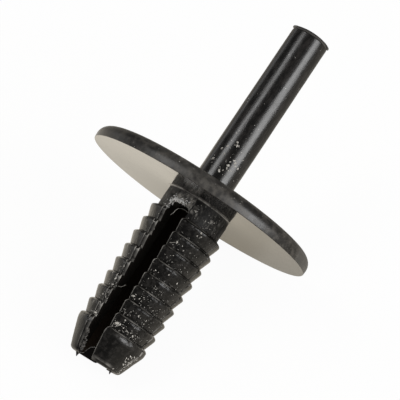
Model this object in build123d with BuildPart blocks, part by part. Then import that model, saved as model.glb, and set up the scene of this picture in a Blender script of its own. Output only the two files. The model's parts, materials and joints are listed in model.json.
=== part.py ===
from build123d import *
from math import atan2, cos, degrees, radians, sin, sqrt, tan
import os

# A moulded push rivet, in millimetres. It is drawn upright in its own frame: the origin is the
# centre of the flange's seating plane, +Z runs along the axis towards the drive pin, the two legs
# lie at -X and +X, and the slot between them opens towards -Y and +Y.
# At the end it is laid down the way it comes to rest on a table.

# Flange
flange_d = 25.0            # the wide round head that bears on the panel
flange_t = 1.58            # thickness at the rim
flange_edge_round = 1.1    # soft upper edge of the rim
flange_dish = 0.3          # the underside is hollow by this much, so that the rim presses first
seat_w = 0.9               # width of the flat ring that seats on the panel

# Neck between the flange and the first barb
neck_d = 7.0
neck_length = 2.0          # from the seating plane to the first barb

# Barbed shank
barb_count = 8
barb_pitch = 1.6
barb_d = 8.1               # over the crests of the first barb
barb_taper = 0.05          # each next barb is this much smaller in diameter
barb_depth = 0.4           # from crest to root, on the radius
barb_lock_h = 0.38         # height of the sloping face that locks behind the panel
crest_land = 0.15          # blunt edge of each barb

# Tip
tip_land_h = 0.45          # short straight land below the tip's own locking face
tip_length = 3.42          # from the tip's crest to its end
tip_half_angle = 21.2      # of the tip's cone
tip_end_round = 0.7

# Slot that splits the shank in two legs
slot_w_top = 2.0
slot_w_tip = 1.72
slot_top_depth = 1.05      # the slot's upper end, below the seating plane
slot_top_round = 0.6
recess_depth = 0.22        # flat above the slot, sunk this much in the neck's surface

# Drive pin and its bore
pin_d = 4.15
pin_draft = 0.05           # the pin is this much thinner at its struck end
pin_stand = 19.1           # the struck end's height over the flange before it is driven
pin_engaged = 1.0          # how far the nose reaches into the flange before it is driven
pin_nose_chamfer = 0.4
pin_end_chamfer = 0.3
pin_clearance = 0.05       # running clearance on the radius
bore_mouth_chamfer = 0.25

# Worked out from the sizes above
flange_r = flange_d / 2
neck_r = neck_d / 2
bore_r = pin_d / 2 + pin_clearance
flange_top = flange_dish + flange_t
crest_radii = [(barb_d - n * barb_taper) / 2 for n in range(barb_count + 1)]
crest_heights = [-neck_length - n * barb_pitch - barb_lock_h for n in range(barb_count + 1)]
tip_r = crest_radii[-1]
cone_top = crest_heights[-1] - tip_land_h
shank_end = crest_heights[-1] - tip_length
cone_end_r = tip_r - (cone_top - shank_end) * tan(radians(tip_half_angle))

# The saw-tooth outline of the barbs: each crest with its land, then the root above the next one
barb_outline = []
for crest_r, crest_z in zip(crest_radii[:-1], crest_heights[:-1]):
    barb_outline.append((crest_r, crest_z))
    barb_outline.append((crest_r, crest_z - crest_land))
    barb_outline.append((crest_r - barb_depth, crest_z + barb_lock_h - barb_pitch))

# The flange, the neck and the two barbed legs are one moulding
with BuildPart() as rivet_body:
    with BuildSketch(Plane.XZ):
        with BuildLine():
            rim_top = RadiusArc(
                (flange_r - flange_edge_round, flange_t),
                (flange_r, flange_t - flange_edge_round),
                flange_edge_round,
            )
            Polyline(
                rim_top @ 1,
                (flange_r, 0),
                (flange_r - seat_w, 0),
                (neck_r, flange_dish),
                (neck_r, -neck_length),
                *barb_outline,
                (tip_r, crest_heights[-1]),
                (tip_r, cone_top),
                (cone_end_r, shank_end),
                (0, shank_end),
                (0, flange_top),
                rim_top @ 0,
            )
        make_face()
    revolve(axis=Axis.Z)

    tip_end = rivet_body.edges().filter_by(GeomType.CIRCLE).group_by(Axis.Z)[0]
    fillet(tip_end, tip_end_round)

    # bore for the drive pin, with an eased mouth
    with BuildSketch(Plane.XY.offset(shank_end)):
        Circle(bore_r)
    extrude(amount=flange_top - shank_end, mode=Mode.SUBTRACT)
    mouth = rivet_body.edges().filter_by(GeomType.CIRCLE).group_by(Axis.Z)[-1].sort_by(SortBy.RADIUS)[0]
    chamfer(mouth, bore_mouth_chamfer)

    # slot between the legs: its upper corners are rounded, and it narrows a little towards the tip
    with BuildSketch(Plane.XZ) as slot_outline:
        with BuildLine():
            Polyline(
                (-slot_w_top / 2, -slot_top_depth),
                (slot_w_top / 2, -slot_top_depth),
                (slot_w_tip / 2, shank_end),
                (-slot_w_tip / 2, shank_end),
                close=True,
            )
        make_face()
        fillet(slot_outline.vertices().group_by(Axis.Y)[-1], slot_top_round)
    extrude(amount=barb_d, both=True, mode=Mode.SUBTRACT)

    # shallow flat that runs from the slot up to the flange, on both sides
    recess_bottom = -slot_top_depth - slot_top_round
    for side in (-1, 1):
        with BuildSketch(Plane.XZ.offset(side * (neck_r - recess_depth))):
            with Locations((0, recess_bottom)):
                Rectangle(slot_w_top, flange_dish - recess_bottom, align=(Align.CENTER, Align.MIN))
        extrude(amount=side * 2 * recess_depth, mode=Mode.SUBTRACT)

# The drive pin stands in the flange's hole until it is struck
with BuildPart() as drive_pin:
    with BuildSketch(Plane.XZ):
        with BuildLine():
            pin_r = pin_d / 2
            nose_z = flange_top - pin_engaged
            struck_z = flange_top + pin_stand
            Polyline(
                (0, nose_z),
                (pin_r - pin_nose_chamfer, nose_z),
                (pin_r, nose_z + pin_nose_chamfer),
                (pin_r - pin_draft / 2, struck_z),
                (0, struck_z),
                close=True,
            )
        make_face()
    revolve(axis=Axis.Z)
    struck_edge = drive_pin.edges().filter_by(GeomType.CIRCLE).group_by(Axis.Z)[-1]
    chamfer(struck_edge, pin_end_chamfer)

# Laid down, the rivet rests on the flange's rim and on the slot's two edges at the tip's end.
# The tip's end rounding touches where its surface leans like the table, so the lean is found by
# stepping to the line that touches both the rim's edge and the rounding.
rounding_r = cone_end_r + tip_end_round * (tan(radians(tip_half_angle)) - 1 / cos(radians(tip_half_angle)))
rounding_z = shank_end + tip_end_round
lean = radians(25)
for step in range(20):
    touch_r = sqrt((rounding_r + tip_end_round * cos(lean)) ** 2 - (slot_w_tip / 2) ** 2)
    touch_z = rounding_z - tip_end_round * sin(lean)
    lean = atan2(flange_r - touch_r, -touch_z)
lying = Plane(origin=(0, 0, 0), x_dir=(0, -1, 0), z_dir=(cos(lean), 0, sin(lean)))
rivet_body.part.locate(lying.location)
drive_pin.part.locate(lying.location)

os.makedirs("parts", exist_ok=True)
rivet_body.part.label = "rivet_body"
export_step(rivet_body.part, "parts/rivet_body.step")
drive_pin.part.label = "drive_pin"
export_step(drive_pin.part, "parts/drive_pin.step")
print(f"lean {degrees(lean):.4f} degrees, floor {-flange_r * cos(lean):.4f} mm")
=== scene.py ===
"""A black nylon push rivet lying on a pale table: a flange and split barbed shank moulded in one
piece, with the plain drive pin standing in it. Sizes are millimetres in the rivet's own upright
frame: z = 0 is the flange's seat, +z runs to the pin's struck end, the legs are at -x and +x, and
the slot between them opens towards -y, the front, and +y. finish_piece() lays each piece down."""

import json
import math
import random

import bmesh
import bpy
from mathutils import Matrix, Vector, noise
from mathutils.bvhtree import BVHTree


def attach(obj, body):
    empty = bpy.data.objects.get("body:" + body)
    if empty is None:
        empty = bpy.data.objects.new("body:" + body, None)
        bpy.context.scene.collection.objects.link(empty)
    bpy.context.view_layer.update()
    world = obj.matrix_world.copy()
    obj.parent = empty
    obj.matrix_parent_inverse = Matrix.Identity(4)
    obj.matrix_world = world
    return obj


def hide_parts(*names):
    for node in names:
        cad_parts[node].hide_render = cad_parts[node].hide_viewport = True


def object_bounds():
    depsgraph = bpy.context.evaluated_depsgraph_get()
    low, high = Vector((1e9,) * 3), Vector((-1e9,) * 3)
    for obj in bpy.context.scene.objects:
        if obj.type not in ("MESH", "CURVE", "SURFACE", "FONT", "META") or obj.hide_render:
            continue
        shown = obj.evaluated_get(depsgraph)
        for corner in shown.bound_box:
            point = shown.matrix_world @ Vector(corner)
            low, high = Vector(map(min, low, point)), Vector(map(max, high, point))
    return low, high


MM = 0.001

# Flange: its top is a low cone that bulges by DOME, and its underside is dished inside the seat
FLANGE_R = 12.5
FLANGE_T = 1.58
FLANGE_EDGE_ROUND = 1.1
FLANGE_EDGE_Z = FLANGE_T - 0.02
FLANGE_DISH = 0.3
FLANGE_TOP = FLANGE_DISH + FLANGE_T
DOME = 0.1
DOME_SHARES = (0.15, 0.3, 0.45, 0.6, 0.75)
SEAT_W = 0.9
SEAT_RISE = 0.03
SEAT_OUTER_ROUND = 0.06
SEAT_INNER_ROUND = 0.1

# Neck, with the fillet that joins it to the dish, and barbs
NECK_R = 3.5
NECK_LENGTH = 2.0
NECK_FILLET = 0.14
FILLET_REACH = 0.35
FILLET_DROP = 0.013
BARB_COUNT = 8
BARB_PITCH = 1.6
BARB_R = 4.05
BARB_TAPER = 0.025
BARB_DEPTH = 0.4
BARB_LOCK_H = 0.38
CREST_ROUND = 0.14
ROOT_ROUND = 0.02
ROOT_GROOVE = 0.09
LOCK_BULGE = 0.1

# Tip
TIP_LAND_H = 0.45
TIP_LAND_LEAN = 0.05
TIP_LENGTH = 3.32
TIP_CREST_ROUND = 0.35
CONE_TOP_ROUND = 1.5
TIP_SLOPE = math.tan(math.radians(21.2))
TIP_END_ROUND = 0.5

# Slot and bore: where the slot's walls stand at its upper end and at the tip
SLOT_LEFT = (-1.1, -1.04)
SLOT_RIGHT = (0.93, 0.64)
SLOT_TOP_DEPTH = 1.05
SLOT_TOP_ROUND = 0.6
RECESS_DEPTH = 0.22
BORE_R = 2.125
BORE_MOUTH_CHAMFER = 0.25

# The mould's blade left a low strip beside the slot on the left leg, which slants down to the slot
STRIP_REACH = 1.52
STRIP_REACH_END = 1.34
STRIP_STEP = 0.05
STRIP_STEP_ROUND = 0.07
STRIP_FALL = 0.17
STRIP_SWING = 0.16

# The slot's edges are rounded by the blade's fillets
SLOT_EDGE_ROUND = 0.13
ROUNDING_SHARES = [1 - math.sin(math.radians(turn)) for turn in (0, 15, 30, 45, 60, 75, 90)]

# The mould's halves meet beside the legs' middles, a little out of line
PARTING_Y = -0.2
PARTING_STEP = 0.06
PARTING_RIDGE = 0.03
PARTING_HALF_W = 0.03
PARTING_FADE = 0.6
RIM_WITNESS_TURN = math.radians(-11)
RIM_STEP = 0.03
RIM_STEP_W = 0.15

# Waves in the moulding's skin, each as its height and how many there are to a millimetre
LONG_WAVES = [(0.01, 0.6)]
LEG_WAVES = [(0.016, 1.9), (0.01, 5)]
CREST_NICK = 0.05

# The shank leans a little off the flange's axis, and the legs' ends are a little askew
SHANK_LEAN = 0.006
END_SKEW = 0.05

# Drive pin, with the flash that its mould's halves left at the struck end, and its bevel's depth in
# front as a share of the depth at the back
PIN_R = 2.075
PIN_DRAFT = 0.025
PIN_STAND = 19.1
PIN_ENGAGED = 1.0
PIN_NOSE_CHAMFER = 0.4
PIN_END_CHAMFER = 0.3
PIN_FLASH = 0.17
PIN_FLASH_T = 0.12
PIN_FLASH_DROOP = 0.06
PIN_FLASH_TURN = math.radians(23.3)
PIN_FRONT_BEVEL = 0.4
PIN_WAVE = 0.012
PIN_LUMP_H = 0.035
# The struck end's edge from its face down: how far in from the side, how far down, and rounding
PIN_END_EDGE = [(0.05, 0.0, 0.03), (0.04, 0.08, 0.02), (0.1, 0.12, 0.02), (0.06, 0.25, 0), (0.0, 0.4, 0.1)]

# How finely arcs and rings are divided, in steps, columns and millimetres, and the angle under which
# an edge looks smooth
ROUND_STEPS = 5
LARGE_ROUND = 0.3
EVEN_COLUMNS = 50
BORE_COLUMNS = 160
PIN_COLUMNS = 192
INNERMOST_R = 0.3
COLUMNS_LEAST_R = 3.0
LONGEST_STEP = 0.3
LOCK_STEP = 0.07
PIN_LONGEST_STEP = 1.0
SMOOTH_UNDER = math.radians(35)

# Worked out from the sizes above
CREST_R = [BARB_R - n * BARB_TAPER for n in range(BARB_COUNT + 1)]
CREST_Z = [-NECK_LENGTH - n * BARB_PITCH - BARB_LOCK_H for n in range(BARB_COUNT + 1)]
CONE_TOP = CREST_Z[-1] - TIP_LAND_H
SHANK_END = CREST_Z[-1] - TIP_LENGTH
CONE_END_R = CREST_R[-1] - (CONE_TOP - SHANK_END) * TIP_SLOPE
SLOT_CORNER_Z = -SLOT_TOP_DEPTH - SLOT_TOP_ROUND
PIN_NOSE = FLANGE_TOP - PIN_ENGAGED
PIN_STRUCK = FLANGE_TOP + PIN_STAND

# Torn flash between the legs' ends: its front and back, its outline as x and z, the lip along its
# upper edge, the ragged lumps beside the strip's end, and the spikes as two places and a width
WEB_Y = (-2.2, -2.11)
WEB_EDGE = [
    (-1.1, -18.3), (-1.06, -18.54), (-0.85, -18.58), (-0.67, -18.54), (-0.4, -18.57), (0.0, -18.55),
    (0.25, -18.59), (0.5, -18.57), (0.8, -18.6), (1.02, -18.57), (1.2, -18.45), (1.1, -18.1),
    (0.66, -17.8), (0.66, -17.25), (0.13, -17.3), (-0.25, -17.53), (-0.44, -17.97), (-0.6, -18.35),
]
WEB_LIP_W = 0.1
WEB_LIP = [(-0.95, -18.5), (-0.62, -18.4), (-0.44, -17.97), (-0.25, -17.53), (0.13, -17.32), (0.64, -17.4)]
TORN_LUMPS = 40
TORN_LUMP_H = 0.09
TORN_LUMP_FACING = Vector((0.4, -0.9, 0)).normalized()
SPIKES = [
    ((-2.3, 0.3, -18.3), (-2.15, 0.35, -19.0), 0.7),
    ((2.1, -0.65, -18.0), (2.27, -0.6, -18.72), 0.6),
]

# Crumbs and strands keep this far out of the bore, so that the pin can pass. A strand is brought
# towards the camera by this share of the way at a time
CRUMB_CLEARANCE = 0.15
STRAND_CLEARANCE = 0.8
STRAND_STEP = 0.0005

# Lumps of dust on the front, as x, z and width
LUMPS = [
    (-0.15, -10.8, 0.24), (0.1, -13.4, 0.3), (-1.3, -14.5, 0.3), (-1.1, -14.7, 0.2), (-1.8, -12.6, 0.22),
    (1.25, -14.25, 0.34), (1.55, -14.2, 0.2), (1.95, -14.3, 0.16), (2.3, -14.35, 0.14),
    (2.65, -14.3, 0.16), (2.85, -14.45, 0.2), (3.1, -14.5, 0.12), (1.1, -11.2, 0.26), (1.7, -11.1, 0.14),
    (1.73, -4.53, 0.2), (2.5, -4.85, 0.14), (3.0, -2.45, 0.2), (3.1, -2.75, 0.2), (2.8, -2.9, 0.18),
    (1.43, -0.97, 0.26), (1.3, -0.95, 0.14), (3.1, -0.8, 0.14), (1.8, -13.6, 0.2),
    (2.45, -12.55, 0.16), (3.05, -12.6, 0.12), (1.5, -7.95, 0.16), (2.65, -7.6, 0.16), (3.4, -7.8, 0.2),
    (-1.7, -2.0, 0.24), (-1.5, -10.7, 0.2), (-2.3, -10.3, 0.14), (-1.5, -11.3, 0.18), (-0.95, -4.6, 0.14),
    (-1.4, -4.0, 0.16), (-1.2, -7.1, 0.14), (-1.5, -9.2, 0.14), (-1.3, -12.2, 0.16), (-1.5, -13.4, 0.18),
]
# How many fine crumbs lie on each barb, from the flange to the tip
STREWN = [6, 6, 8, 12, 16, 26, 30, 80]
NECK_CRUMBS = 24
TIP_CRUMBS = 55
# Dust caught along the recess over the slot, as x, z and width
ARCH_LUMPS = [
    (-1.5, -1.25, 0.22), (-1.35, -1.1, 0.16), (-1.15, -0.98, 0.2), (-0.95, -0.92, 0.16), (-0.75, -0.88, 0.2),
    (-0.5, -0.85, 0.18), (-0.28, -0.86, 0.13), (-0.05, -0.84, 0.18), (0.15, -0.88, 0.12), (-0.9, -1.12, 0.14),
    (-0.6, -1.0, 0.12), (-1.3, -1.5, 0.16), (-1.45, -1.95, 0.18), (-1.3, -0.7, 0.12),
]
SHAVINGS = 110
# Dust on the pin just over the flange, as degrees round from the slot, z and width
PIN_LUMPS = [
    (-15, 6.0, 0.2), (-3, 6.5, 0.14), (15, 7.3, 0.2), (19, 7.0, 0.16), (13, 6.95, 0.12), (24, 7.05, 0.1),
    (-5, 6.45, 0.1), (-22, 4.7, 0.16), (-19, 4.78, 0.12), (16, 3.9, 0.18), (24, 4.15, 0.12), (29, 4.85, 0.2),
    (30, 4.55, 0.12), (37, 4.4, 0.12), (44, 4.55, 0.12), (58, 5.15, 0.2), (48, 5.2, 0.16), (42, 5.4, 0.18),
    (36, 5.6, 0.18), (28, 5.25, 0.1), (-2, 8.05, 0.1), (2, 5.65, 0.12), (57, 6.15, 0.1),
]
PIN_CRUMBS = 45
# Fibres on the front, each as its thickness and a row of x and z
FIBRES = [
    (0.05, [(0.0, -1.6), (-0.15, -1.95), (0.02, -2.3), (-0.16, -2.65)]),
    (0.02, [(1.0, -1.5), (0.6, -1.42), (0.3, -1.45), (0.0, -1.62)]),
    (0.035, [(-1.15, -11.4), (-0.8, -11.2), (-0.4, -11.1), (0.1, -10.7)]),
    (0.03, [(1.15, -4.95), (1.4, -4.8), (1.7, -4.55)]),
]

# Finishes: the refractive index of nylon 6, the pale colour of nylon that rubbing has whitened, which also
# paints highlights and sheen, and how much rougher it is, the colour of dust, and how far apart its grains
# are, which is coarser than real so that they show
NYLON_IOR = 1.53
PALE_WEAR_AND_HIGHLIGHT = "#a5a19a"
WORN_ROUGHNESS = 0.4
DUST = "#c9c6bf"
GRAIN_MM = 0.12

# How pale each place is painted, from 0 to 1: rubbing wear, painted highlights and painted sheen
RIM_WITNESS_WEAR = 0.11
RIM_FRONT_WEAR_AND_SHEEN = 0.1
RIM_LEFT_END_PALENESS = 0.16
NECK_CORNER_HIGHLIGHT = 0.75
RECESS_SCUFFS_AND_SHEEN = 0.2
LOCK_HIGHLIGHT = 0.5
TIP_LAND_HIGHLIGHT = 0.1
TIP_END_PALE_LINE = 0.4
PIN_BEVEL_HIGHLIGHT = 0.2

# The moulding's finishes, by their numbers in body_finishes()
FLANGE, UNDERSIDE, SLOT, SHANK, RECESS, NECK, BORE = range(7)

# Sockets of a colour Mix node
MIX_A, MIX_B, MIX_RESULT = 6, 7, 2

# Camera, in the rivet's upright frame: degrees and millimetres, and the pixel of the picture where
# the middle of the flange's seat falls
CAMERA_TURN = 23.3
CAMERA_RISE = -7.92
CAMERA_ROLL = 33.73
CAMERA_DISTANCE = 150.0
PIXELS_PER_MM = 9.995
SEAT_PIXEL = (198.05, 206.95)
PICTURE = 400
SENSOR = 36.0

# Light: the soft boxes, with what add_lamp() takes for each. ROOM_LIGHT and TABLE_SEEN are how bright
# the room and the table are, and the others are for what the rivet's gloss shows of them. In the gloss
# the table shows a painted pool of light, which falls off over a range in metres from its middle, twice as
# fast in x
LAMPS = [
    ("overhead box", -142, 59, 1.6, 0.55, 0.6, 6.0),
    ("front box", -4, 23, 1.6, 0.9, 0.95, 7.0),
    ("back card", -172, 4.5, 1.6, 1.6, 0.54, 0.9),
]
ROOM_LIGHT = 0.45
ROOM_IN_GLOSS = 0.09
TABLE_SEEN = 0.95
TABLE_IN_GLOSS = 0.445
TABLE_GLOW = (1.4, 0.45)
TABLE_GLOW_RANGE = (0.015, 0.06)
TABLE_GLOW_MIDDLE = (0.0, 0.03, 0.0)
TABLE_SIZE = 4


def rivet_to_row(joint):
    """The turn that lays the upright rivet down: its axis is the one that the pin slides along."""
    axis = -Vector(joint["axis"]).normalized()
    legs = Vector((0, -1, 0))
    slot = axis.cross(legs)
    return Matrix((legs, slot, axis)).transposed().to_4x4()


def held(value, low=0.0, high=1.0):
    """The value, held between low and high."""
    return min(high, max(low, value))


def new_object(name, mesh):
    """Puts a mesh into the scene as a piece."""
    piece = bpy.data.objects.new(name, mesh)
    bpy.context.scene.collection.objects.link(piece)
    return piece


def from_shape(name, shape):
    """Makes a piece from a bmesh, and frees it."""
    mesh = bpy.data.meshes.new(name)
    shape.to_mesh(mesh)
    shape.free()
    return new_object(name, mesh)


def closed_piece(name, vertices, faces):
    """Makes a piece from points and faces, with its faces turned outwards."""
    mesh = bpy.data.meshes.new(name)
    mesh.from_pydata(vertices, [], faces)
    mesh.validate()
    shape = bmesh.new()
    shape.from_mesh(mesh)
    bmesh.ops.recalc_face_normals(shape, faces=shape.faces)
    shape.to_mesh(mesh)
    shape.free()
    return new_object(name, mesh)


def rounded(corners):
    """An outline with each corner (r, z, radius) rounded by an arc of that radius."""
    points = []
    for n, (r, z, radius) in enumerate(corners):
        here = Vector((r, z))
        if radius == 0 or n in (0, len(corners) - 1):
            points.append(here)
            continue
        before = (Vector(corners[n - 1][:2]) - here).normalized()
        after = (Vector(corners[n + 1][:2]) - here).normalized()
        half = before.angle(after) / 2
        reach = radius / math.tan(half)
        centre = here + (before + after).normalized() * radius / math.sin(half)
        first = here + before * reach - centre
        last = here + after * reach - centre
        steps = ROUND_STEPS if radius < LARGE_ROUND else 2 * ROUND_STEPS
        swing = first.angle_signed(last)
        for k in range(steps + 1):
            turn = -swing * k / steps
            arm = Vector((
                first.x * math.cos(turn) - first.y * math.sin(turn),
                first.x * math.sin(turn) + first.y * math.cos(turn),
            ))
            points.append(centre + arm)
    return points


def stepped(points, longest_step):
    """The same outline, with points added so that no step is longer than longest_step gives for it."""
    finer = [points[0]]
    for before, after in zip(points, points[1:]):
        parts = math.ceil((after - before).length / longest_step(before, after))
        finer += [before.lerp(after, (k + 1) / parts) for k in range(parts)]
    return finer


def body_step(before, after):
    """The longest step between two points. The flange's lines stay whole, and the shank is finely
    divided, its locking faces most of all."""
    if before.y >= FLANGE_DISH or max(before.x, after.x) >= BARB_R:
        return FLANGE_R
    return LOCK_STEP if after.x - before.x > BARB_DEPTH / 4 else LONGEST_STEP


def body_outline():
    """Half section of the moulding, from the flange's middle over its top and down to the tip."""
    corners = [(INNERMOST_R, FLANGE_TOP, 0)]
    for share in DOME_SHARES:
        cone_z = FLANGE_TOP + (FLANGE_EDGE_Z - FLANGE_TOP) * share
        corners.append((FLANGE_R * share, cone_z + DOME * (1 - (2 * share - 1) ** 2), 0))
    corners.append((FLANGE_R, FLANGE_EDGE_Z, FLANGE_EDGE_ROUND))
    corners.append((FLANGE_R, 0, SEAT_OUTER_ROUND))
    corners.append((FLANGE_R - SEAT_W, SEAT_RISE, SEAT_INNER_ROUND))
    corners.append((NECK_R + FILLET_REACH, FLANGE_DISH - FILLET_DROP, 0))
    corners.append((NECK_R, FLANGE_DISH, NECK_FILLET))
    corners.append((NECK_R, -NECK_LENGTH, ROOT_ROUND))
    for r, z in zip(CREST_R[:-1], CREST_Z[:-1]):
        corners.append((r, z, CREST_ROUND))
        root_r, root_z = r - BARB_DEPTH, z + BARB_LOCK_H - BARB_PITCH
        corners.append((root_r, root_z + ROOT_GROOVE / 2, ROOT_ROUND))
        corners.append((root_r - ROOT_GROOVE, root_z, ROOT_ROUND))
        corners.append((root_r + ROOT_GROOVE / 2, root_z - ROOT_GROOVE / 2, ROOT_ROUND))
    corners.append((CREST_R[-1], CREST_Z[-1], TIP_CREST_ROUND))
    corners.append((CREST_R[-1] - TIP_LAND_LEAN, CONE_TOP, CONE_TOP_ROUND))
    corners.append((CONE_END_R, SHANK_END, TIP_END_ROUND))
    corners.append((INNERMOST_R, SHANK_END, 0))
    return stepped(rounded(corners), body_step)


def turned(name, outline, ring):
    """A closed turned mesh from a half section that runs from the top of the axis to its bottom."""
    rings = [ring(r, z) for r, z in outline]
    columns = len(rings[0])
    vertices = [point for row in rings for point in row]
    faces = []
    for row in range(len(rings) - 1):
        for c in range(columns):
            d = (c + 1) % columns
            here, below = row * columns, (row + 1) * columns
            faces.append((here + c, below + c, below + d, here + d))
    last = (len(rings) - 1) * columns
    faces.append(tuple(reversed(range(columns))))
    faces.append(tuple(last + c for c in range(columns)))
    return closed_piece(name, vertices, faces)


def slot_edges(z):
    """Where the slot's two walls stand at a height: its blade stood a little askew in the mould."""
    share = held((-SLOT_TOP_DEPTH - z) / (-SLOT_TOP_DEPTH - SHANK_END))
    return [top + (tip - top) * share for top, tip in (SLOT_LEFT, SLOT_RIGHT)]


def up_locks(z):
    """How far up each barb's locking face a height is: 0 at its crest and 1 at the root above."""
    return ((z - crest) / BARB_LOCK_H for crest in CREST_Z)


def down_cone(z):
    """How far down the tip's cone a height is: 0 at its top and 1 at its end."""
    return held((CONE_TOP - z) / (CONE_TOP - SHANK_END))


def strip_swing(z):
    """How far the strip and the slot's edge swing out over each barb's locking face."""
    for over in up_locks(z):
        if 0 < over <= 1:
            return STRIP_SWING * over
    return 0.0


def strip_reach(z):
    """How far left of the middle the strip's brim stands. It comes nearer on the tip."""
    return STRIP_REACH + (STRIP_REACH_END - STRIP_REACH) * down_cone(z) + strip_swing(z)


def leg_turns(r, z, edge, brim, parting):
    """Angles of a ring's vertices from a leg's middle to the middle of the slot.

    The ring is denser beside the parting line and beside the slot, where the columns follow lines
    of constant width, so that the strip and the slot's edge stay straight on every barb."""
    reach = max(r, COLUMNS_LEAST_R)
    beside_slot = [brim - STRIP_STEP_ROUND * (1 - share) for share in ROUNDING_SHARES]
    beside_slot += [edge + SLOT_EDGE_ROUND * share for share in ROUNDING_SHARES]
    beside_slot += [edge - 0.03, 0.5 * edge]
    beside_parting = [0.0, PARTING_HALF_W, 2 * PARTING_HALF_W] if parting == 0 else [
        0.0, parting - 2 * PARTING_HALF_W, parting - PARTING_HALF_W, parting,
        parting + PARTING_HALF_W, parting + 2 * PARTING_HALF_W,
    ]
    turns = [math.asin(y / reach) for y in beside_parting]
    first = turns[-1]
    last = math.acos(beside_slot[0] / reach)
    turns += [first + (last - first) * k / EVEN_COLUMNS for k in range(1, EVEN_COLUMNS)]
    return turns + [math.acos(x / reach) for x in beside_slot]


def rounding_drop(inside, radius):
    """How far a rounded edge of that radius has fallen, at a distance inside the edge."""
    rest = held(radius - inside, high=radius)
    return radius - math.sqrt(radius * radius - rest * rest)


def lock_bulge(z):
    """The locking faces bulge a little between crest and root."""
    for over in up_locks(z):
        if 0 < over < 1:
            return LOCK_BULGE * (1 - (2 * over - 1) ** 2)
    return 0.0


def waviness(place, waves):
    """How far a surface stands out of true at a place."""
    return sum(height * noise.noise(place * count) for height, count in waves)


def body_skin(r, z, turn):
    """The moulding's real radius at one place: strip, slot edge, parting step, waves and nicks."""
    x = r * math.cos(turn)
    y = r * math.sin(turn)
    left, right = slot_edges(z)
    on_shank = z < -NECK_LENGTH - ROOT_ROUND
    on_rim = r > FLANGE_R - 0.05 and z < FLANGE_T - FLANGE_EDGE_ROUND
    above_end = held((z - SHANK_END) / PARTING_FADE)
    bare = r
    if on_shank:
        r += lock_bulge(z)
        inside = (left - x if x < 0 else x - right) - strip_swing(z)
        r -= rounding_drop(inside, SLOT_EDGE_ROUND)
        if x < 0:
            brim = strip_reach(z)
            over = brim + x
            r -= STRIP_STEP / STRIP_STEP_ROUND * rounding_drop(STRIP_STEP_ROUND - over, STRIP_STEP_ROUND)
            r -= STRIP_FALL * held(over / (brim + left))
    if on_rim or (z < -0.2 and bare > CONE_END_R - 0.2):
        off_parting = y - PARTING_Y
        round_about = Vector((math.cos(turn) * bare, math.sin(turn) * bare, z))
        if on_rim:
            off_witness = FLANGE_R * (math.remainder(turn, math.tau) - RIM_WITNESS_TURN)
            r -= RIM_STEP * held(abs(off_witness) / RIM_STEP_W + 0.3 * (off_witness > 0))
        else:
            r += PARTING_STEP * math.cos(turn) * above_end * held(0.5 + off_parting / PARTING_HALF_W / 2)
            torn = 0.6 + noise.noise(round_about * 4)
            r += PARTING_RIDGE * above_end * torn * held(1 - abs(off_parting) / PARTING_HALF_W)
            r += waviness(round_about, LEG_WAVES)
        r += waviness(round_about, LONG_WAVES)
    if on_shank and any(abs(z - crest) < CREST_ROUND for crest in CREST_Z):
        nick = noise.noise(Vector((math.cos(turn) * 9, math.sin(turn) * 9, z * 2.1)))
        r -= CREST_NICK * max(0, nick)
    return r


def body_ring(r, z):
    """One ring of the moulding: the back from leg to leg, then the front."""
    left, right = slot_edges(z)
    left, right = left - strip_swing(z), right + strip_swing(z)
    brim = strip_reach(z)
    back = leg_turns(r, z, right, brim, 0) + [math.pi / 2]
    back += [math.pi - a for a in reversed(leg_turns(r, z, -left, brim, 0))]
    front = [math.tau - a for a in leg_turns(r, z, right, brim, -PARTING_Y)[1:]]
    front += [1.5 * math.pi]
    front += [math.pi + a for a in reversed(leg_turns(r, z, -left, brim, -PARTING_Y)[1:])]
    turns = back + list(reversed(front))
    skin = [(body_skin(r, z, a), a) for a in turns]
    return [(real * math.cos(a), real * math.sin(a), z) for real, a in skin]


def bore_ring(r, z):
    """One even ring of the bore's core."""
    turns = [math.tau * c / BORE_COLUMNS for c in range(BORE_COLUMNS)]
    return [(r * math.cos(a), r * math.sin(a), z) for a in turns]


def pin_ring(r, z):
    """One ring of the pin, with the flash lips that stand out on both sides at the struck end, and
    the bevel between them, which is deeper at the back."""
    at_side = r > PIN_R - PIN_END_CHAMFER - 0.1
    near_end = held((z - PIN_STRUCK + PIN_FLASH_T) / 0.05) if at_side else 0
    into_bevel = held(z - PIN_STRUCK + PIN_END_CHAMFER, high=PIN_END_CHAMFER)
    ring = []
    for c in range(PIN_COLUMNS):
        a = math.tau * c / PIN_COLUMNS
        beside = math.cos(a - PIN_FLASH_TURN)
        lip = near_end * held((abs(beside) - 0.85) / 0.15) ** 1.5
        bevel = into_bevel * held((0.98 - abs(beside)) / 0.3)
        if math.sin(a) <= 0:
            bevel *= PIN_FRONT_BEVEL
        out = r + PIN_FLASH * lip - bevel
        out += PIN_WAVE * noise.noise(Vector((math.cos(a) * 3, math.sin(a) * 3, z * 0.8))) - PIN_WAVE / 2
        ring.append((out * math.cos(a), out * math.sin(a), z - PIN_FLASH_DROOP * lip * held(beside)))
    return ring


def prism(name, outline, y0, y1):
    """A block with an outline in x and z, from y0 to y1."""
    count = len(outline)
    vertices = [(x, y, z) for y in (y0, y1) for x, z in outline]
    faces = [tuple(range(count)), tuple(reversed(range(count, 2 * count)))]
    faces += [(k, k + count, (k + 1) % count + count, (k + 1) % count) for k in range(count)]
    return closed_piece(name, vertices, faces)


def cut(piece, cutter):
    """Takes the cutter's shape out of the piece, and deletes the cutter."""
    modifier = piece.modifiers.new("cut", "BOOLEAN")
    modifier.object = cutter
    modifier.solver = "EXACT"
    bpy.context.view_layer.update()
    shown = piece.evaluated_get(bpy.context.evaluated_depsgraph_get())
    result = bpy.data.meshes.new_from_object(shown)
    piece.modifiers.clear()
    piece.data = result
    bpy.data.objects.remove(cutter)


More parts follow.
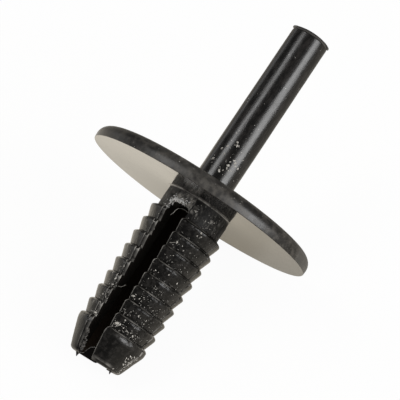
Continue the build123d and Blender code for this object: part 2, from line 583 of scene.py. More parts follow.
def slot_cutter():
    """The slot's blade: it has rounded upper corners and narrows towards the tip."""
    below = SHANK_END - 2
    drop = (-SLOT_TOP_DEPTH - below) / (-SLOT_TOP_DEPTH - SHANK_END)
    left, right = [top + (tip - top) * drop for top, tip in (SLOT_LEFT, SLOT_RIGHT)]
    outline = rounded([
        (0, -SLOT_TOP_DEPTH, 0),
        (SLOT_RIGHT[0], -SLOT_TOP_DEPTH, SLOT_TOP_ROUND),
        (right, below, 0),
        (left, below, 0),
        (SLOT_LEFT[0], -SLOT_TOP_DEPTH, SLOT_TOP_ROUND),
        (-0.01, -SLOT_TOP_DEPTH, 0),
    ])
    return prism("slot", outline, -2 * BARB_R, 2 * BARB_R)


def bore_cutter():
    """The bore's core, with the cone that eases its mouth."""
    outline = [
        (BORE_R + BORE_MOUTH_CHAMFER + 1, FLANGE_TOP + 1),
        (BORE_R, FLANGE_TOP - BORE_MOUTH_CHAMFER),
        (BORE_R, SHANK_END - 1),
    ]
    return turned("bore", outline, bore_ring)


def recess_cutter(side):
    """The shallow flat over the slot, as wide as the slot, at the front (-1) or back (1)."""
    flat = side * (NECK_R - RECESS_DEPTH)
    top = FLANGE_DISH / 2
    left, right = SLOT_LEFT[0] + 0.001, SLOT_RIGHT[0] - 0.001
    outline = [(left, SLOT_CORNER_Z), (right, SLOT_CORNER_Z), (right, top), (left, top)]
    return prism("recess", outline, *sorted((flat, flat + side * 2 * RECESS_DEPTH)))


def lean(out, z):
    """How far the lean has moved the shank at a distance from the axis and a height."""
    return SHANK_LEAN * min(0, z) * held(out - BORE_R)


def settle(body):
    """Leans the shank and skews the legs' ends as they came out of the mould; the bore stays true."""
    for vertex in body.data.vertices:
        x, y, z = vertex.co
        vertex.co.x += lean(math.hypot(x, y), z)
        vertex.co.z += END_SKEW * x * down_cone(z)


def make_body():
    """Flange, neck and barbed legs as one moulding, with bore, recesses and slot cut out."""
    body = turned("rivet_body_moulding", body_outline(), body_ring)
    cut(body, bore_cutter())
    for side in (-1, 1):
        cut(body, recess_cutter(side))
    cut(body, slot_cutter())
    settle(body)
    return body


def make_web():
    """A film of flash that tore between the legs' ends."""
    return prism("torn_film", WEB_EDGE, *WEB_Y)


def make_torn_edges():
    """The film's lip, the ragged flash on the left leg's end, and a spike on each leg."""
    draw = random.Random(5)
    shape = bmesh.new()
    add_fibre(shape, [Vector((x, WEB_Y[0], z)) for x, z in WEB_LIP], WEB_LIP_W)
    # Down the left leg's edge on the tip
    for _ in range(TORN_LUMPS):
        low = draw.random()
        x, z = -1.05 + 0.3 * low + draw.gauss(0, 0.07), -16.2 - 2.1 * low
        r = skin_radius(z) - 0.14
        place = Vector((x, -math.sqrt(r * r - x * x), z))
        add_lump(shape, place, TORN_LUMP_FACING, draw.uniform(0.1, 0.26), TORN_LUMP_H, draw)
    for root, point, width in SPIKES:
        along = Vector(point) - Vector(root)
        turn = along.to_track_quat("Z", "Y").to_matrix().to_4x4()
        middle = (Vector(root) + Vector(point)) / 2
        bmesh.ops.create_cone(
            shape, cap_ends=True, segments=7, radius1=width / 2, radius2=0.02, depth=along.length,
            matrix=Matrix.Translation(middle) @ turn)
    return from_shape("torn_flash", shape)


def make_pin():
    """The drive pin: a plain glossy rod, eased at both ends."""
    side = PIN_R - PIN_DRAFT
    edge = [(side - inwards, PIN_STRUCK - down, radius) for inwards, down, radius in PIN_END_EDGE]
    outline = rounded([
        (INNERMOST_R, PIN_STRUCK, 0),
        *edge,
        (PIN_R, PIN_NOSE + PIN_NOSE_CHAMFER, 0.1),
        (PIN_R - PIN_NOSE_CHAMFER, PIN_NOSE, 0.05),
        (INNERMOST_R, PIN_NOSE, 0),
    ])
    return turned("drive_pin_rod", stepped(outline, lambda before, after: PIN_LONGEST_STEP), pin_ring)


def skin_radius(z):
    """The moulding's plain radius at a height on the neck, the barbs or the tip."""
    outline = [(NECK_R, FLANGE_DISH), (NECK_R, -NECK_LENGTH)]
    for r, crest in zip(CREST_R[:-1], CREST_Z[:-1]):
        outline += [(r, crest), (r - BARB_DEPTH, crest + BARB_LOCK_H - BARB_PITCH)]
    outline += [(CREST_R[-1], CREST_Z[-1]), (CREST_R[-1], CONE_TOP), (CONE_END_R, SHANK_END)]
    for (r0, z0), (r1, z1) in zip(outline, outline[1:]):
        if z1 <= z <= z0:
            return r0 + (r1 - r0) * (z0 - z) / (z0 - z1)
    return CONE_END_R


def seen_on(piece):
    """A way to find where a line from the camera towards a place on the shank's front first meets
    the piece, so that dust deep in the slot lies on the slot's wall, clear of the bore."""
    mesh = piece.data
    tree = BVHTree.FromPolygons([v.co for v in mesh.vertices], [f.vertices for f in mesh.polygons])
    eye = camera_stand()[0]

    def find(x, z):
        r = skin_radius(z)
        target = Vector((x + SHANK_LEAN * min(0, z), -math.sqrt(max(0, r * r - x * x)), z))
        place, normal, _, _ = tree.ray_cast(eye, (target - eye).normalized())
        if place:
            outward = max(1, (BORE_R + CRUMB_CLEARANCE) / math.hypot(place.x, place.y))
            place = Vector((place.x * outward, place.y * outward, place.z))
        return place, normal
    return find


def over_pin_path(place):
    """A place in the slot, brought towards the camera until the pin can pass well behind it."""
    eye = camera_stand()[0]
    while place.y > -math.sqrt(max(0, (BORE_R + STRAND_CLEARANCE) ** 2 - place.x ** 2)):
        place = place.lerp(eye, STRAND_STEP)
    return place


def add_lump(shape, place, normal, width, height, draw):
    """A crumb of dust: a squashed uneven ball that sits on the surface."""
    turn = normal.to_track_quat("Z", "Y").to_matrix().to_4x4() @ Matrix.Rotation(draw.uniform(0, 3), 4, "Z")
    spread = Matrix.Diagonal((width / 2 * draw.uniform(0.8, 2.2), width / 2, height, 1))
    made = bmesh.ops.create_icosphere(
        shape, subdivisions=2, radius=1, matrix=Matrix.Translation(place) @ turn @ spread)
    for vertex in made["verts"]:
        vertex.co += (vertex.co - place) * draw.uniform(-0.25, 0.25)


def add_fibre(shape, points, thickness):
    """A thread through points, as a tube of six sides."""
    rings = []
    for n, point in enumerate(points):
        along = points[min(n + 1, len(points) - 1)] - points[max(n - 1, 0)]
        side = along.cross(Vector((0, 1, 0))).normalized()
        up = side.cross(along).normalized()
        arms = [side * math.cos(a) + up * math.sin(a) for a in (math.tau * k / 6 for k in range(6))]
        rings.append([shape.verts.new(point + arm * thickness / 2) for arm in arms])
    for one, other in zip(rings, rings[1:]):
        for k in range(6):
            m = (k + 1) % 6
            shape.faces.new((one[k], one[m], other[m], other[k]))
    shape.faces.new(list(reversed(rings[0])))
    shape.faces.new(rings[-1])


def bump_at(value, middle, half):
    """1 at the middle, and less with the distance from it, down to 0 at the distance half."""
    return held(1 - abs(value - middle) / half)


def rim_wear_and_sheen(x, y, patchy):
    """Pale beyond the rim's witness line; paler in front, partly from rubbing and partly a painted sheen; and
    paler at the left end.
    """
    beyond_witness = math.atan2(y, x) - RIM_WITNESS_TURN
    witness = held(beyond_witness / 0.01, high=RIM_WITNESS_WEAR) if x > 0 else 0
    in_front = RIM_FRONT_WEAR_AND_SHEEN * bump_at(x, 2.0, 7.0) * held(-y) * patchy
    left_end = RIM_LEFT_END_PALENESS * held((-10.4 - x) / 1.5)
    return max(witness, in_front, left_end)


def neck_wear_and_highlights(x, y, z, patchy):
    """The front of the neck: a painted highlight line in its upper corner; pale scuffs on the recess and left
    of it, partly a painted reflection of the flat; and specks on the recess.
    """
    corner = NECK_CORNER_HIGHLIGHT * bump_at(z, FLANGE_DISH - 0.05, 0.1)
    scuffs_and_sheen = RECESS_SCUFFS_AND_SHEEN * held((slot_edges(z)[1] - x) / 0.08) * held((x + 3.3) / 1.5)
    specks = held(3 * noise.noise(Vector((x * 7, y * 3, z * 7))) - 0.6) * held(0.6 - abs(z + 0.9) / 2)
    return max(corner, scuffs_and_sheen + specks) * patchy if y < 0 else 0


def right_leg_wear_and_highlights(x, y, z, near_crest):
    """Pale paint on the right leg: along the slot's edge, partly wear and partly a painted highlight that
    grows over the crests; painted highlights on the locking faces and on the tip's land; a pale line near the
    tip's end; and the parting ridge's specks. The first number is the paint that patches break up, and the
    second the ridge's own."""
    edge = bump_at(x, slot_edges(z)[1] + 0.04 + strip_swing(z), 0.07) * (0.6 + 1.0 * near_crest)
    on_lock = max(bump_at(over, 0.62, 0.2) for over in up_locks(z))
    lock = LOCK_HIGHLIGHT * on_lock * held(2.4 - 2 * abs(x - 2.3))
    land = TIP_LAND_HIGHLIGHT * bump_at(z, (CREST_Z[-1] + CONE_TOP) / 2 + 0.15, 0.5) * bump_at(x, 2.6, 1.3)
    end_line = TIP_END_PALE_LINE * bump_at(z, SHANK_END + 0.42, 0.07) * held((2.6 - x) / 0.3)
    ridge = bump_at(y, PARTING_Y, 0.07) * held(3 * noise.noise(Vector((x, y, z * 5))) + 0.5)
    return max(edge, lock, land, end_line), held((-11 - z) / 4, low=0.25) * ridge


def left_leg_wear_and_highlights(x, z, near_crest):
    """Pale lines along the strip's brim and the slot's edge, in hooks over the barbs' crests: partly worn
    edges, partly painted highlights.
    """
    brim = bump_at(x, -strip_reach(z), 0.05)
    edge = bump_at(x, slot_edges(z)[0] - 0.05 - strip_swing(z), 0.06)
    return max(brim, edge) * (0.4 + 1.4 * near_crest)


def body_wear_and_highlights(x, y, z):
    """How pale the moulding is painted at one place: rubbing wear, with painted highlights and sheen."""
    out = math.hypot(x, y)
    x -= lean(out, z)
    patchy = 0.75 + noise.noise(Vector((x * 1.5, y, z * 2.6))) + 0.6 * noise.noise(Vector((x * 4, y, z * 7)))
    if out > FLANGE_R - FLANGE_EDGE_ROUND:
        return rim_wear_and_sheen(x, y, patchy)
    if z > -NECK_LENGTH and out < NECK_R + 0.3:
        return neck_wear_and_highlights(x, y, z, patchy)
    if z > SLOT_CORNER_Z or out < 0.8 * CONE_END_R:
        return 0
    near_crest = max(bump_at(over, 0.4, 0.9) for over in up_locks(z))
    if x > 0:
        pale_paint, ridge = right_leg_wear_and_highlights(x, y, z, near_crest)
        return max(pale_paint * patchy, ridge)
    return left_leg_wear_and_highlights(x, z, near_crest) * patchy


def pin_bevel_highlight(x, y, z):
    """How pale the bevel at the pin's struck end is painted, more on its front: a painted highlight where the
    bevel catches the light.
    """
    return PIN_BEVEL_HIGHLIGHT * bump_at(z, PIN_STRUCK - 0.2, 0.17) * held((1.0 - y) / 0.5)


def mark_wear_and_highlights(piece, wear):
    """Keeps the wear and painted highlights of every point for the materials, before the piece is laid down.
    """
    wear_and_highlight = piece.data.attributes.new("wear_and_highlight", "FLOAT", "POINT")
    for n, vertex in enumerate(piece.data.vertices):
        wear_and_highlight.data[n].value = max(0, wear(*vertex.co))


def make_pin_dust():
    """Low crumbs on the pin, thin enough to pass through the bore with it."""
    draw = random.Random(3)
    shape = bmesh.new()
    strewn = [
        (draw.gauss(20, 28), draw.gauss(4.8, 1.0), draw.uniform(0.03, 0.07)) for _ in range(PIN_CRUMBS)
    ]
    for turn, z, width in PIN_LUMPS + strewn:
        if z < FLANGE_TOP + 0.2:
            continue
        a = math.radians(turn)
        normal = Vector((math.sin(a), -math.cos(a), 0))
        place = normal * (PIN_R - PIN_DRAFT * 0.3) + Vector((0, 0, z))
        add_lump(shape, place, normal, width, PIN_LUMP_H, draw)
    return from_shape("dust_on_pin", shape)


def make_body_dust(body):
    """Crumbs and fibres on the shank: the large ones in their places, and fine ones strewn."""
    draw = random.Random(7)
    find = seen_on(body)
    shape = bmesh.new()
    for x, z, width in LUMPS:
        place, normal = find(x, z)
        if place:
            add_lump(shape, place, normal, 0.72 * width, 0.25 * width, draw)
    # On the ledges over the barbs' roots, four of five on the right leg
    for n, count in enumerate(STREWN):
        root_z = -NECK_LENGTH - (n + 1) * BARB_PITCH
        for _ in range(count):
            x = draw.uniform(0.95, 3.5) if draw.random() < 0.8 else draw.uniform(-2.2, -1.0)
            place, normal = find(x, root_z + draw.gauss(0.45, 0.25))
            if place:
                width = draw.uniform(0.03, 0.08)
                add_lump(shape, place, normal, width, width * 0.4, draw)
    # At the right of the neck
    for _ in range(NECK_CRUMBS):
        place, normal = find(draw.uniform(2.5, 3.4), draw.uniform(-2.2, -0.1))
        if place:
            add_lump(shape, place, normal, draw.uniform(0.03, 0.08), 0.025, draw)
    # Down the right edge of the tip
    for _ in range(TIP_CRUMBS):
        z = -16.0 - 2.2 * draw.random()
        x = math.sqrt(skin_radius(z) ** 2 - 0.04) - abs(draw.gauss(0, 0.12)) + 0.04
        place, normal = find(x, z)
        if place:
            add_lump(shape, place, normal, draw.uniform(0.04, 0.14), 0.03, draw)
    for thickness, row in FIBRES:
        points = [over_pin_path(find(x, z)[0]) - Vector((0, 0.05, 0)) for x, z in row]
        add_fibre(shape, points, thickness)
    return from_shape("dust_on_shank", shape)


def make_shavings(body):
    """Crumbs on the recess over the slot, where the slot's blade left the neck; their material is painted
    whiter than the dust elsewhere, as painted light against the flange's shade.
    """
    draw = random.Random(11)
    find = seen_on(body)
    shape = bmesh.new()
    for x, z, width in ARCH_LUMPS:
        place, normal = find(x, z)
        if place:
            add_lump(shape, place, normal, 0.8 * width, 0.3 * width, draw)
    for _ in range(SHAVINGS):
        x, z, _ = draw.choice(ARCH_LUMPS)
        place, normal = find(x + draw.gauss(0, 0.2), z + 0.1 + draw.gauss(0, 0.16))
        if place:
            width = draw.uniform(0.03, 0.11)
            add_lump(shape, place, normal, width, width * 0.35, draw)
    return from_shape("shavings_on_neck", shape)


def finish_piece(piece, lay):
    """Keeps the upright place of every point for the materials, then lays the piece down."""
    mesh = piece.data
    place = mesh.attributes.new("place_mm", "FLOAT_VECTOR", "POINT")
    for n, vertex in enumerate(mesh.vertices):
        place.data[n].vector = vertex.co
    mesh.transform(lay @ Matrix.Scale(MM, 4))
    mesh.shade_smooth()
    mesh.set_sharp_from_angle(angle=SMOOTH_UNDER)
    return piece


def linear(code):
    """An sRGB hex colour as the linear colour that a shader takes."""
    parts = [int(code[k:k + 2], 16) / 255 for k in (1, 3, 5)]
    return [p / 12.92 if p <= 0.04045 else ((p + 0.055) / 1.055) ** 2.4 for p in parts] + [1]


def add(tree, kind, inputs=None, **settings):
    """Adds a node with its settings, and its inputs as values or links."""
    made = tree.nodes.new(kind)
    for name, value in settings.items():
        setattr(made, name, value)
    for socket, value in (inputs or {}).items():
        if isinstance(value, bpy.types.NodeSocket):
            tree.links.new(value, made.inputs[socket])
        else:
            made.inputs[socket].default_value = value
    return made


def new_material(name):
    """An empty material, with its node tree."""
    material = bpy.data.materials.new(name)
    material.use_nodes = True
    material.node_tree.nodes.clear()
    return material, material.node_tree


def dust_share(tree, place, amount, ledges, low_end):
    """How much of the surface dust covers, as separate grains. There are more of them in clumps,
    more on the ledges above the barbs' roots, and more towards the tip."""
    cells = add(tree, "ShaderNodeTexVoronoi", {"Vector": place, "Scale": 1 / GRAIN_MM})
    drawn = add(tree, "ShaderNodeSeparateColor", {"Color": cells.outputs["Color"]})
    clumps = add(tree, "ShaderNodeTexNoise", {"Vector": place, "Scale": 0.8, "Detail": 2.0})
    axes = add(tree, "ShaderNodeSeparateXYZ", {"Vector": place})
    barbs = add(tree, "ShaderNodeMath", {
        0: axes.outputs["Z"], 1: -1 / BARB_PITCH, 2: -NECK_LENGTH / BARB_PITCH,
    }, operation="MULTIPLY_ADD")
    in_barb = add(tree, "ShaderNodeMath", {0: barbs.outputs[0]}, operation="FRACT")
    wanted = 0.0
    for value, start, end, least, most in [
        (in_barb.outputs[0], 0.5, 0.95, 0.0, ledges),
        (axes.outputs["Z"], -3.0, -14.0, 0.0, low_end),
        (clumps.outputs["Fac"], 0.35, 0.7, amount - 0.2, amount + 0.2),
    ]:
        more = add(tree, "ShaderNodeMapRange", {
            "Value": value, "From Min": start, "From Max": end, "To Min": least, "To Max": most,
        })
        wanted = add(tree, "ShaderNodeMath", {
            0: wanted, 1: more.outputs[0],
        }, operation="ADD").outputs[0]
    chosen = add(tree, "ShaderNodeMath", {0: drawn.outputs["Red"], 1: wanted}, operation="LESS_THAN")
    reach = add(tree, "ShaderNodeMath", {0: drawn.outputs["Green"], 1: 0.42}, operation="MULTIPLY")
    in_grain = add(tree, "ShaderNodeMath", {
        0: cells.outputs["Distance"], 1: reach.outputs[0],
    }, operation="LESS_THAN")
    above_tip = add(tree, "ShaderNodeMath", {
        0: axes.outputs["Z"], 1: CREST_Z[-1] + BARB_LOCK_H,
    }, operation="GREATER_THAN")
    thick = add(tree, "ShaderNodeMapRange", {
        "Value": drawn.outputs["Blue"], "From Min": 0.0, "From Max": 1.0, "To Min": 0.1, "To Max": 0.7,
    })
    share = thick.outputs[0]
    for only in (chosen, in_grain, above_tip):
        share = add(tree, "ShaderNodeMath", {
            0: share, 1: only.outputs[0],
        }, operation="MULTIPLY").outputs[0]
    return share


def nylon(name, skin, haze, gloss, matt, grain_mm, grain_depth_mm, dust, ledges=0.0, low_end=0.0,
          drawn=1.0, shine=0.5):
    """Black nylon 6 as the mould left it. The skin's colour is clouded by a paler haze of fine wear,
    its roughness varies between gloss and matt in the same clouds, and dust lies on it. The mould's
    grain, some hundredths of a millimetre in reality, is drawn coarser so that it shows, and the
    clouds are 1.7 times as wide. drawn is less than 1 where the mould drew them out along the piece."""
    material, tree = new_material(name)
    place = add(tree, "ShaderNodeAttribute", attribute_name="place_mm").outputs["Vector"]
    along = add(tree, "ShaderNodeMapping", {"Vector": place, "Scale": (1, 1, drawn)}).outputs[0]
    clouds = add(tree, "ShaderNodeTexNoise", {
        "Vector": along, "Scale": 0.35 / grain_mm, "Detail": 6.0, "Roughness": 0.7,
    })
    grain = add(tree, "ShaderNodeTexNoise", {"Vector": along, "Scale": 0.6 / grain_mm, "Detail": 4.0})
    cloud_share = add(tree, "ShaderNodeMapRange", {
        "Value": clouds.outputs["Fac"], "From Min": 0.42, "From Max": 0.66,
    }, interpolation_type="SMOOTHSTEP")
    colour = add(tree, "ShaderNodeMix", {
        0: cloud_share.outputs[0], MIX_A: linear(skin), MIX_B: linear(haze),
    }, data_type="RGBA")
    # Paler with rubbing wear, and where highlights and sheen are painted
    wear_and_highlight = add(tree, "ShaderNodeAttribute", attribute_name="wear_and_highlight").outputs["Fac"]
    pale_paint = add(tree, "ShaderNodeMix", {
        0: wear_and_highlight, MIX_A: colour.outputs[MIX_RESULT], MIX_B: linear(PALE_WEAR_AND_HIGHLIGHT),
    }, data_type="RGBA")
    dusty = dust_share(tree, place, dust, ledges, low_end)
    dusted = add(tree, "ShaderNodeMix", {
        0: dusty, MIX_A: pale_paint.outputs[MIX_RESULT], MIX_B: linear(DUST),
    }, data_type="RGBA")
    unworn = add(tree, "ShaderNodeMapRange", {
        "Value": clouds.outputs["Fac"], "From Min": 0.3, "From Max": 0.7, "To Min": gloss, "To Max": matt,
    })
    roughness = add(tree, "ShaderNodeMath", {
        0: wear_and_highlight, 1: WORN_ROUGHNESS, 2: unworn.outputs[0],
    }, operation="MULTIPLY_ADD", use_clamp=True)
    bump = add(tree, "ShaderNodeBump", {
        "Height": grain.outputs["Fac"], "Strength": 1.0, "Distance": grain_depth_mm * MM,
    })
    shader = add(tree, "ShaderNodeBsdfPrincipled", {
        "Base Color": dusted.outputs[MIX_RESULT],
        "Roughness": roughness.outputs[0],
        "IOR": NYLON_IOR,
        "Specular IOR Level": shine,
        "Normal": bump.outputs["Normal"],
    })
    add(tree, "ShaderNodeOutputMaterial", {"Surface": shader.outputs["BSDF"]})
    return material


def slot_nylon(name, dark, light):
    """Inside the slot and bore, where the core dragged the skin dull: it gives back little light, and
    faint marks 0.2 mm wide and 2 mm long run along it."""
    material, tree = new_material(name)
    place = add(tree, "ShaderNodeAttribute", attribute_name="place_mm").outputs["Vector"]
    drag = add(tree, "ShaderNodeMapping", {"Vector": place, "Scale": (5, 5, 0.5)})
    marks = add(tree, "ShaderNodeTexNoise", {"Vector": drag.outputs[0], "Scale": 1.0, "Detail": 3.0})
    colour = add(tree, "ShaderNodeMix", {
        0: marks.outputs["Fac"], MIX_A: linear(dark), MIX_B: linear(light),
    }, data_type="RGBA")
    shader = add(tree, "ShaderNodeBsdfPrincipled", {
        "Base Color": colour.outputs[MIX_RESULT],
        "Roughness": 0.7,
        "IOR": NYLON_IOR,
        "Specular IOR Level": 0.06,
    })
    add(tree, "ShaderNodeOutputMaterial", {"Surface": shader.outputs["BSDF"]})
    return material


def dry_crumbs(name, dark, light):
    """Lint, crumbs or shavings: dry and matt, in uneven shades."""
    material, tree = new_material(name)
    place = add(tree, "ShaderNodeAttribute", attribute_name="place_mm").outputs["Vector"]
    shades = add(tree, "ShaderNodeTexNoise", {"Vector": place, "Scale": 3.0, "Detail": 2.0})
    colour = add(tree, "ShaderNodeMix", {
        0: shades.outputs["Fac"], MIX_A: linear(dark), MIX_B: linear(light),
    }, data_type="RGBA")
    shader = add(tree, "ShaderNodeBsdfPrincipled", {
        "Base Color": colour.outputs[MIX_RESULT], "Roughness": 0.9, "Specular IOR Level": 0.2,
    })
    add(tree, "ShaderNodeOutputMaterial", {"Surface": shader.outputs["BSDF"]})
    return material


def table_paper(name):
    """A white table: lit by the lamps, and shown white to the camera and in the gloss. In the gloss
    it carries a painted pool of light and a warmer tint: brightest close under the rivet, falling off further
    away."""
    material, tree = new_material(name)
    path = add(tree, "ShaderNodeLightPath")
    spot = add(tree, "ShaderNodeNewGeometry").outputs["Position"]
    across = add(tree, "ShaderNodeVectorMath", {0: spot, 1: (2.0, 1.0, 1.0)}, operation="MULTIPLY")
    away = add(tree, "ShaderNodeVectorMath", {
        0: across.outputs["Vector"], 1: TABLE_GLOW_MIDDLE,
    }, operation="DISTANCE")
    # A painted pool of light, seen only in the gloss
    bright = add(tree, "ShaderNodeMapRange", {
        "Value": away.outputs["Value"], "From Min": TABLE_GLOW_RANGE[0], "From Max": TABLE_GLOW_RANGE[1],
        "To Min": TABLE_GLOW[0], "To Max": TABLE_GLOW[1],
    }, interpolation_type="SMOOTHSTEP")
    strength = add(tree, "ShaderNodeMix", {
        0: path.outputs["Is Glossy Ray"], 2: 1.0, 3: bright.outputs[0],
    }, data_type="FLOAT")
    warm = add(tree, "ShaderNodeMix", {
        0: path.outputs["Is Glossy Ray"], MIX_A: linear("#ffffff"), MIX_B: linear("#fff1d6"),
    }, data_type="RGBA")
    plain = add(tree, "ShaderNodeMix", {
        0: 1.0, MIX_A: linear("#f4f3f0"), MIX_B: strength.outputs[0],
    }, data_type="RGBA", blend_type="MULTIPLY")
    lit = add(tree, "ShaderNodeBsdfDiffuse", {"Color": plain.outputs[MIX_RESULT]})
    shown = add(tree, "ShaderNodeEmission", {
        "Color": warm.outputs[MIX_RESULT], "Strength": strength.outputs[0],
    })
    seen = add(tree, "ShaderNodeMath", {
        0: path.outputs["Is Camera Ray"], 1: TABLE_SEEN,
    }, operation="MULTIPLY")
    mirrored = add(tree, "ShaderNodeMath", {
        0: path.outputs["Is Glossy Ray"], 1: TABLE_IN_GLOSS,
    }, operation="MULTIPLY")
    share = add(tree, "ShaderNodeMath", {0: seen.outputs[0], 1: mirrored.outputs[0]}, operation="ADD")
    mixed = add(tree, "ShaderNodeMixShader", {
        0: share.outputs[0], 1: lit.outputs[0], 2: shown.outputs[0],
    })
    add(tree, "ShaderNodeOutputMaterial", {"Surface": mixed.outputs["Shader"]})
    return material


def body_finishes():
    """The moulding's materials, in the order of their numbers."""
    return [
        # The rim and top have a soft sheen, clouded by handling
        nylon("moulded black nylon on the flange", skin="#181614", haze="#403c37", gloss=0.3, matt=0.5,
              grain_mm=0.3, grain_depth_mm=0.012, dust=0.03),
        # The underside is bright enough to mirror the table and the neck
        nylon("polished black nylon under the flange", skin="#161413", haze="#23201e", gloss=0.08,
              matt=0.14, grain_mm=0.5, grain_depth_mm=0.0006, dust=-0.1),
        # The slot's walls look almost black from every side
        slot_nylon("dull nylon in the slot", dark="#080605", light="#0f0c0a"),
        # The barbs are satin, with a line of light along each crest and dust on the ledges; on the right
        # leg's locking faces that line is partly a painted highlight
        nylon("moulded black nylon on the shank", skin="#0c0b0a", haze="#22201e", gloss=0.19, matt=0.33,
              grain_mm=0.16, grain_depth_mm=0.014, dust=0.0, ledges=0.3, low_end=0.15, shine=0.38),
        # The recess: pale scuffs on dull black, whose pale haze also paints the flat's reflection
        nylon("scuffed nylon of the recess", skin="#11100f", haze="#8f8a82", gloss=0.35, matt=0.6,
              grain_mm=0.1, grain_depth_mm=0.04, dust=0.5),
        # The neck is rough and takes the light weakly
        nylon("rough black nylon of the neck", skin="#0b0a09", haze="#282623", gloss=0.42, matt=0.6,
              grain_mm=0.12, grain_depth_mm=0.05, dust=0.15, shine=0.25),
        # The bore is a dim brown, seen through the slot
        slot_nylon("dull nylon in the bore", dark="#1f1914", light="#30271f"),
    ]


def finish_at(x, y, z):
    """The number of the moulding's finish on a face with its middle there; small numbers are margins."""
    out = math.hypot(x, y)
    x -= lean(out, z)
    left, right = slot_edges(z)
    on_flat = abs(abs(y) - NECK_R + RECESS_DEPTH) < 0.01 and z > SLOT_CORNER_Z
    if on_flat and left < x < right:
        return RECESS
    if out < BORE_R + 0.02 and SHANK_END + 0.05 < z < FLANGE_TOP - 0.3:
        return BORE
    if left - 0.003 < x < right + 0.003 and z < -SLOT_TOP_DEPTH + 0.01:
        return SLOT
    if NECK_R + 0.005 < out < FLANGE_R - 0.05 and -0.01 < z < FLANGE_DISH + 0.01:
        return UNDERSIDE
    if z < -NECK_LENGTH:
        return SHANK
    if z < FLANGE_DISH and out < FLANGE_R - SEAT_W:
        return NECK
    return FLANGE


def paint_body(body):
    """Gives the moulding its finishes, face by face."""
    mesh = body.data
    for finish in body_finishes():
        mesh.materials.append(finish)
    place = mesh.attributes["place_mm"].data
    for face in mesh.polygons:
        corners = [place[v].vector for v in face.vertices]
        face.material_index = finish_at(*(sum(corners, Vector()) / len(corners)))


def add_floor(height):
    """The table's top, at the height that the rivet rests on."""
    bpy.ops.mesh.primitive_plane_add(size=TABLE_SIZE, location=(0, 0, height))
    floor = bpy.context.object
    floor.name = "floor"
    floor.data.materials.append(table_paper("white paper"))


def add_lamp(name, turn, rise, distance, width, height, glow):
    """A soft box seen from the rivet at that turn (0 is -y, 90 is +x) and rise, in degrees; glow is
    how bright its face looks beside white paper."""
    a, b = math.radians(turn), math.radians(rise)
    away = Vector((math.sin(a) * math.cos(b), -math.cos(a) * math.cos(b), math.sin(b)))
    data = bpy.data.lights.new(name, "AREA")
    data.shape = "RECTANGLE"
    data.size = width
    data.size_y = height
    data.energy = glow * math.pi * width * height
    lamp = bpy.data.objects.new(name, data)
    bpy.context.scene.collection.objects.link(lamp)
    lamp.location = away * distance
    lamp.rotation_euler = away.to_track_quat("Z", "Y").to_euler()


def add_world():
    """A white room: full white to the camera, dimmer as a light, and dark in the gloss."""
    world = bpy.data.worlds.new("room")
    bpy.context.scene.world = world
    world.use_nodes = True
    tree = world.node_tree
    tree.nodes.clear()
    path = add(tree, "ShaderNodeLightPath")
    room, dark, white = [
        add(tree, "ShaderNodeBackground", {"Color": linear("#ffffff"), "Strength": strength})
        for strength in (ROOM_LIGHT, ROOM_IN_GLOSS, 1.0)
    ]
    glossy = add(tree, "ShaderNodeMixShader", {
        0: path.outputs["Is Glossy Ray"], 1: room.outputs[0], 2: dark.outputs[0],
    })
    seen = add(tree, "ShaderNodeMixShader", {
        0: path.outputs["Is Camera Ray"], 1: glossy.outputs[0], 2: white.outputs[0],
    })
    add(tree, "ShaderNodeOutputWorld", {"Surface": seen.outputs[0]})


def camera_stand():
    """Where the camera stands beside the upright rivet, and its picture's axes: across, up, back."""
    turn = math.radians(CAMERA_TURN)
    rise = math.radians(CAMERA_RISE)
    roll = math.radians(CAMERA_ROLL)
    back = Vector((math.sin(turn) * math.cos(rise), -math.cos(turn) * math.cos(rise), math.sin(rise)))
    right = (-back).cross(Vector((0, 0, 1))).normalized()
    up = right.cross(-back)
    across = math.cos(roll) * right + math.sin(roll) * up
    upward = math.cos(roll) * up - math.sin(roll) * right
    seat_x = (SEAT_PIXEL[0] - PICTURE / 2) / PIXELS_PER_MM
    seat_y = (PICTURE / 2 - SEAT_PIXEL[1]) / PIXELS_PER_MM
    return back * CAMERA_DISTANCE - across * seat_x - upward * seat_y, (across, upward, back)


def add_camera(lay):
    """The camera, laid down with the rivet."""
    place, axes = camera_stand()
    looks = Matrix(axes).transposed().to_4x4()
    data = bpy.data.cameras.new("camera")
    data.sensor_width = SENSOR
    data.lens = PIXELS_PER_MM * CAMERA_DISTANCE / PICTURE * SENSOR
    data.clip_start = 0.001
    data.clip_end = 10
    camera = bpy.data.objects.new("camera", data)
    bpy.context.scene.collection.objects.link(camera)
    camera.matrix_world = lay @ Matrix.Translation(place * MM) @ looks
    bpy.context.scene.camera = camera


def place_part(piece, body_name, node=None, material=None):
    """Makes a piece move with its body, in place of a node of the frame where it stands for one, and
    gives it its material where it isn't painted yet."""
    if material:
        piece.data.materials.append(material)
    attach(piece, body_name)
    if node:
        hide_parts(node)


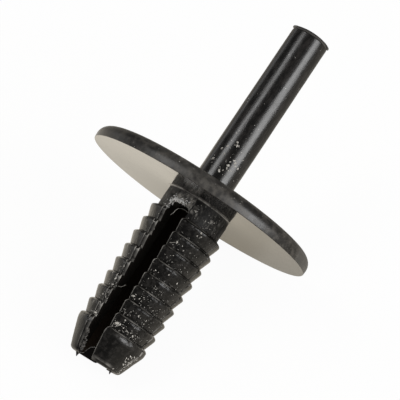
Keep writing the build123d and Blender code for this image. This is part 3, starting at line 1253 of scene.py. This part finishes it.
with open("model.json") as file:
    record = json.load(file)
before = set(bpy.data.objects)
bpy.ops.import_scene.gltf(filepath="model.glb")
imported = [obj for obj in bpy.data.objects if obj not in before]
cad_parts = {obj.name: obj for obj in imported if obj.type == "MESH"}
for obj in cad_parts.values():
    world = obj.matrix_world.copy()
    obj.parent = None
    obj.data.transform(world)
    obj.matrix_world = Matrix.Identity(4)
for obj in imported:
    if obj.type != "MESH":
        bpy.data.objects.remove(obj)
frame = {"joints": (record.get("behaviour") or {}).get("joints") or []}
cad_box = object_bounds()
lay = rivet_to_row(frame["joints"][0])
bpy.context.scene.view_settings.view_transform = "Standard"
add_camera(lay)
add_floor(cad_box[0][2])
add_world()
for lamp in LAMPS:
    add_lamp(*lamp)

body = make_body()
dust = finish_piece(make_body_dust(body), lay)
shavings = finish_piece(make_shavings(body), lay)
mark_wear_and_highlights(body, body_wear_and_highlights)
finish_piece(body, lay)
paint_body(body)
place_part(body, "body", "rivet_body")
for vertex in body.data.vertices:
    vertex.co.z = max(vertex.co.z, cad_box[0][2])

# Dust is dry and pale grey, and the crumbs over the slot are painted whiter still, as painted light where the
# flange shades them
crumbs = dry_crumbs("dry grey dust", dark="#66625b", light="#d6d2ca")
place_part(dust, "body", material=crumbs)
crumbs_painted_white = dry_crumbs("whitened nylon shavings", dark="#b4b0a8", light="#ffffff")
place_part(shavings, "body", material=crumbs_painted_white)

# The film between the legs is as dark as the slot, and torn edges look greyish
film = finish_piece(make_web(), lay)
place_part(film, "body", material=body.data.materials[SLOT])
torn = finish_piece(make_torn_edges(), lay)
torn_nylon = nylon(
    "torn black nylon of the flash", skin="#1d1b19", haze="#6b6761", gloss=0.3, matt=0.5,
    grain_mm=0.1, grain_depth_mm=0.03, dust=0.1)
place_part(torn, "body", material=torn_nylon)

# The pin is smooth and black, with streaks along it where it was drawn from the mould
pin = make_pin()
mark_wear_and_highlights(pin, pin_bevel_highlight)
finish_piece(pin, lay)
pin_nylon = nylon(
    "polished black nylon of the pin", skin="#0f0e0d", haze="#24211f", gloss=0.2, matt=0.32,
    grain_mm=0.2, grain_depth_mm=0.008, dust=-0.02, drawn=0.35)
place_part(pin, "pin", "drive_pin", pin_nylon)
pin_dust = finish_piece(make_pin_dust(), lay)
place_part(pin_dust, "pin", material=crumbs)
